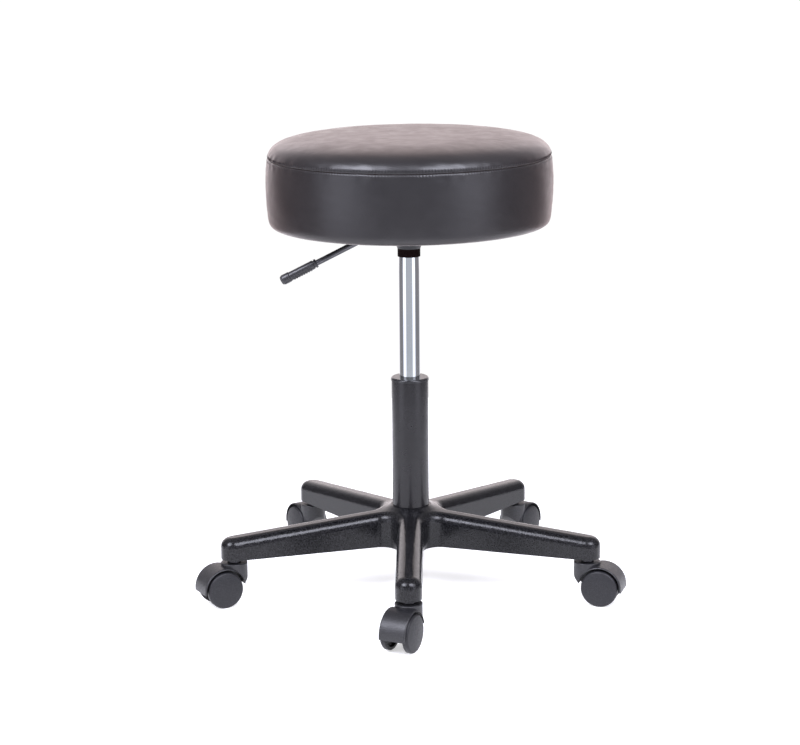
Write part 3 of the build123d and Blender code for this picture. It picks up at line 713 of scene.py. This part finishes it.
# ---- cover: sewn detail on top of the cloth's form ----------------------------
GROOVE_DEPTH = 1.0
GROOVE_WIDTH = 0.95
PUFF_HEIGHT = 0.30
PUFF_AWAY = 4.2
PUFF_WIDTH = 2.6
PUCKER_HEIGHT = 0.48
PUCKER_AWAY = 2.6
PUCKER_WIDTH = 1.5
PUCKER_BELOW = 0.4
PULL_SPREAD = 0.45
DRAWN_IN = 0.25
DRAWN_IN_REACH = 5.0
SIDE_START = 45.0
SIDE_EASE = 4.0
SIDE_LOOSE = 0.28
SIDE_CREASE = 0.10
RIM_ALONG = 22.0
RIM_WIDTH = 7.0
PLEATS = 54
PLEAT_HEIGHT = 0.18
PLEAT_DRIFT = 0.012
BAND_JOINT_ANGLE = math.radians(181.0)
JOINT_START = 20.0
JOINT_DEPTH = 0.9
JOINT_WIDTH = 1.5
JOINT_LIP = 0.3
JOINT_LIP_AWAY = 4.0
JOINT_LIP_WIDTH = 2.5
CALM_SHARE = 0.26
CALM_REACH = 105.0
TOP_START = 14.0
TOP_LOOSE = 0.16
TOP_CREASE = 0.10
TOP_CREASE_ALONG = 16.0

loose = waves(seed=3, count=12, around=(3, 17), upward=(0.02, 0.09))
creases = waves(seed=5, count=14, around=(5, 26), upward=(0.25, 0.55))
stitch_pull = waves(seed=7, count=16, around=(9, 70), upward=(0.0, 0.0))
pleat_drift = waves(seed=9, count=10, around=(4, 25), upward=(0.0, 0.05))


def sewn_height(angle, away, above):
    """Relief beside the seam: groove, puffed lips and the pucker at each stitch."""
    lift = -GROOVE_DEPTH * hump(away, GROOVE_WIDTH) + PUFF_HEIGHT * hump(away - PUFF_AWAY, PUFF_WIDTH)
    pull = 1.0 + PULL_SPREAD * stitch_pull(angle, 0.0)
    amount = PUCKER_HEIGHT if above else PUCKER_BELOW * PUCKER_HEIGHT
    pucker = amount * pull * np.cos(STITCHES * angle) * hump(away - PUCKER_AWAY, PUCKER_WIDTH)
    drawn_in = DRAWN_IN * stitch_pull(angle, 1.7) * hump(away - DRAWN_IN_REACH, DRAWN_IN_REACH)
    return lift + pucker + drawn_in


def around_distance(angle, centre):
    gap = (angle - centre + math.pi) % (2 * math.pi) - math.pi
    return gap * SEAM_RADIUS


def band_height(angle, along):
    """Relief of the side band at a distance along it."""
    away = BAND.total - along
    lift = sewn_height(angle, away, above=False)
    on_side = rising(along, SIDE_START, SIDE_EASE)
    lift = lift + on_side * SIDE_LOOSE * loose(angle, along)
    lift = lift + on_side * SIDE_CREASE * creases(angle, along)
    rim = hump(along - RIM_ALONG, RIM_WIDTH)
    drift = angle + PLEAT_DRIFT * pleat_drift(angle, along)
    uneven = 0.6 + 0.4 * pleat_drift(angle, 3.0)
    lift = lift + rim * PLEAT_HEIGHT * np.cos(PLEATS * drift) * uneven
    gap = around_distance(angle, BAND_JOINT_ANGLE)
    ready = 1 - hump(along, JOINT_START)
    lips = JOINT_LIP * hump(np.abs(gap) - JOINT_LIP_AWAY, JOINT_LIP_WIDTH)
    lift = lift + ready * (-JOINT_DEPTH * hump(gap, JOINT_WIDTH) + lips)
    return lift


def calm(along):
    """Share of the relief that is left towards the middle of the top panel."""
    return CALM_SHARE * (1 - hump(TOP.total - along, CALM_REACH))


def top_height(angle, along):
    """Relief of the top panel at a distance in from the seam."""
    lift = sewn_height(angle, along, above=True)
    settled = (1 - hump(along, TOP_START)) * calm(along)
    creased = TOP_CREASE * creases(angle, along) * hump(along - TOP_CREASE_ALONG, TOP_START)
    return lift + settled * TOP_LOOSE * loose(angle, along) + creased


FINE_REACH = 22.0
BAND_FINE_ALONG = 34.0
BAND_FREE_ALONG = 24.0
BAND_FREE_EASE = 3.0
# Radii of the top panel at which its rings lose half of their points.
HALVING_RADII = (166.0, 100.0, 52.0, 26.0)


def uneven_rows(total, fine_ends, fine, coarse):
    """Distances from 0 to total, finer near the ends that are asked for."""
    rows = [0.0]
    while rows[-1] < total:
        here = rows[-1]
        near = min([abs(here - end) for end in fine_ends])
        rows.append(here + fine + (coarse - fine) * min(1.0, near / FINE_REACH))
    rows = np.array(rows)
    return rows * (total / rows[-1])


def cover_ring(place, outward, moved, lift, angle):
    """A ring about a place of an outline, moved by the cloth and raised by the relief."""
    radius = place[0] + moved[:, 0] + lift * outward[0]
    height = place[1] + moved[:, 1] + lift * outward[1]
    return turn(radius, height, angle)


def make_cover_band(swell):
    """The side band. Its edge under the board stays where it is stapled."""
    angle = angles(SEGMENTS)
    rings = []
    for along in uneven_rows(BAND.total, (BAND.total, BAND_FINE_ALONG), fine=0.55, coarse=3.4):
        place, outward = BAND.at(along)
        moved = swell.at(along, angle)
        lift = band_height(angle, along)
        ring = cover_ring(place, outward, moved, lift, angle)
        rings.append(pulled(ring, rising(along, BAND_FREE_ALONG, BAND_FREE_EASE)))
    points, faces = stack_rings(rings)
    finish_skin("cover_band", points, faces, "cover_side_band")


def make_cover_top(swell):
    """The top panel, with fewer points in its rings towards the middle."""
    rings = []
    for along in uneven_rows(TOP.total, (0.0,), fine=0.5, coarse=4.2)[:-1]:
        place, outward = TOP.at(along)
        count = SEGMENTS
        for limit in HALVING_RADII:
            if place[0] < limit:
                count //= 2
        angle = angles(count)
        moved = swell.at(BAND.total + along, angle) * calm(along)
        lift = top_height(angle, along)
        rings.append(pulled(cover_ring(place, outward, moved, lift, angle)))
    tip = rings[-1].mean(axis=0)
    points, faces = stack_rings(rings, tip)
    finish_skin("cover_top", points, faces, "cover_top_panel")


def finish_skin(name, points, faces, node):
    """Give a cover panel its thickness, body, material and place of the CAD node."""
    piece = new_piece(name, points, faces)
    thick = piece.modifiers.new("thickness", "SOLIDIFY")
    thick.thickness = SKIN * MM
    thick.offset = -1.0
    thick.use_even_offset = False
    piece.data.materials.append(MATERIALS["vinyl"])
    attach(piece, "seat")
    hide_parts(node)


THREAD_RADIUS = 0.34
STITCH_LENGTH = 3.3
THREAD_SIDES = 6
THREAD_RINGS = 7
THREAD_BOW = 0.42
THREAD_OUT = 0.05
THREAD_UP = 0.55
THREAD_UNEVEN = 0.10
THREAD_ENDS = 0.45


def make_seam_stitches():
    """The row of lockstitches that joins band and top panel, one short loop of thread each."""
    points = []
    faces = []
    pitch = 2 * math.pi / STITCHES
    pull = stitch_pull(np.arange(STITCHES) * pitch, 0.0)
    for stitch in range(STITCHES):
        middle = (stitch + 0.5) * pitch
        for ring in range(THREAD_RINGS):
            share = ring / (THREAD_RINGS - 1) - 0.5
            angle = middle + share * STITCH_LENGTH / SEAM_RADIUS
            bow = math.cos(share * math.pi)
            radius = SEAM_RADIUS - GROOVE_DEPTH + THREAD_OUT + THREAD_BOW * bow
            height = SEAM_HEIGHT + THREAD_UP + THREAD_UNEVEN * pull[stitch]
            thick = THREAD_RADIUS * (THREAD_ENDS + (1 - THREAD_ENDS) * bow)
            for side in range(THREAD_SIDES):
                spin = 2 * math.pi * side / THREAD_SIDES
                out = radius + thick * math.cos(spin)
                up = height + thick * math.sin(spin)
                points.append(pulled(turn(out, up, np.float64(angle))))
        start = stitch * THREAD_RINGS * THREAD_SIDES
        for ring in range(THREAD_RINGS - 1):
            low = start + ring * THREAD_SIDES
            faces += ring_faces(low + THREAD_SIDES, THREAD_SIDES, low, THREAD_SIDES)
        faces.append(tuple(start + side for side in range(THREAD_SIDES)))
        end = start + (THREAD_RINGS - 1) * THREAD_SIDES
        faces.append(tuple(end + side for side in reversed(range(THREAD_SIDES))))
    piece = new_piece("seam_stitches", points, faces)
    piece.data.materials.append(MATERIALS["thread"])
    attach(piece, "seat")


FOAM_SEGMENTS = 144
FOAM_INSET = 2.4
FOAM_FOOT_RADIUS = 180.0
FOAM_ROWS = 22
# Clearance of the foam over the board, at its edge, at its middle and round it.
OVER_BOARD = 0.4
OVER_BOARD_MIDDLE = 1.6
ROUND_BOARD = 0.6


def make_foam():
    """The foam cushion: it fills the cover and steps over the board's edge."""
    angle = angles(FOAM_SEGMENTS)
    hollow = BOARD_RADIUS + ROUND_BOARD
    steps = (
        (60.0, BOARD_HIGH + OVER_BOARD_MIDDLE),
        (120.0, BOARD_HIGH + OVER_BOARD),
        (hollow, BOARD_HIGH + OVER_BOARD),
        (hollow, RIM_LOW + 4.0),
    )
    rings = [turn(radius, height, angle) for radius, height in steps]
    low_start = BAND.lengths[np.searchsorted(BAND.points[:, 0], FOAM_FOOT_RADIUS)]
    for outline, start, end in ((BAND, low_start, BAND.total), (TOP, 2.0, TOP.total * 0.97)):
        for along in np.linspace(start, end, FOAM_ROWS):
            (radius, height), outward = outline.at(along)
            inside = turn(radius - FOAM_INSET * outward[0], height - FOAM_INSET * outward[1], angle)
            rings.append(pulled(inside))
    points, faces = stack_rings(rings, turn(0.0, SEAT_TOP - FOAM_INSET, 0.0))
    centre = len(points)
    points = np.vstack([points, [turn(0.0, BOARD_HIGH + OVER_BOARD_MIDDLE, 0.0)]])
    for i in range(FOAM_SEGMENTS):
        faces.append(((i + 1) % FOAM_SEGMENTS, i, centre))
    piece = new_piece("foam_cushion", points, faces)
    piece.data.materials.append(MATERIALS["foam"])
    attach(piece, "seat")
    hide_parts("seat_foam")


DUST_THICKNESS = 0.5
DUST_SEGMENTS = 384
DUST_GAP = 0.05
DUST_SAG = 0.9
SAG_RADIUS = 132.0
SAG_WIDTH = 12.0
SCALLOP = 0.35
SCALLOP_RADIUS = 146.0
STAPLES = 24

dust_waves = waves(seed=21, count=12, around=(3, 29), upward=(0.02, 0.12))


def dust_height(radius, angle):
    """Under face of the dust cover: flat on the board and over the band's edge, slack between."""
    over_edge = rising(radius, WRAP_RADIUS - 2.5, 0.7)
    flat = BOARD_LOW + (WRAP_LOW - BOARD_LOW) * over_edge - DUST_THICKNESS - DUST_GAP
    free = hump(radius - SAG_RADIUS, SAG_WIDTH)
    slack = 0.45 + 0.35 * dust_waves(angle, radius)
    pull = 0.5 + 0.5 * np.cos(STAPLES * (angle - math.pi / STAPLES))
    radial = SCALLOP * pull * hump(radius - SCALLOP_RADIUS, SAG_WIDTH)
    return flat - free * DUST_SAG * np.clip(slack, 0.0, 1.0) - radial * (1 - over_edge)


def make_dust_cover():
    """Black cloth under the board, with a soft scallop between its staples."""
    angle = angles(DUST_SEGMENTS)
    rings = []
    pull = np.cos(STAPLES * (angle - math.pi / STAPLES))
    edge = DUST_RADIUS - 0.4 + SCALLOP * pull
    for share in np.linspace(1.0, 0.955, 5)[:-1]:
        rings.append(turn(edge * share, dust_height(DUST_RADIUS * share, angle), angle))
    counts = ((152.0, 1), (90.0, 2), (45.0, 4), (22.0, 8), (0.0, 16))
    for radius in np.concatenate([np.arange(152.5, 90.0, -1.5), np.arange(88.0, 4.0, -6.0)]):
        divide = next(step for limit, step in counts if radius > limit)
        spots = angles(DUST_SEGMENTS // divide)
        rings.append(turn(radius, dust_height(radius, spots), spots))
    points, faces = stack_rings(rings, turn(0.0, dust_height(0.0, 0.0), 0.0))
    faces = [tuple(reversed(face)) for face in faces]
    piece = new_piece("dust_cover_cloth", points, faces)
    thick = piece.modifiers.new("thickness", "SOLIDIFY")
    thick.thickness = DUST_THICKNESS * MM
    thick.offset = -1.0
    piece.data.materials.append(MATERIALS["dust_cloth"])
    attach(piece, "seat")
    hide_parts("dust_cover")


def make_soft_parts():
    swell = Swell()
    make_cover_band(swell)
    make_cover_top(swell)
    make_seam_stitches()
    make_foam()
    make_dust_cover()


make_camera()
make_studio()
MATERIALS = make_materials()
paint_nodes(MATERIALS)
make_soft_parts()
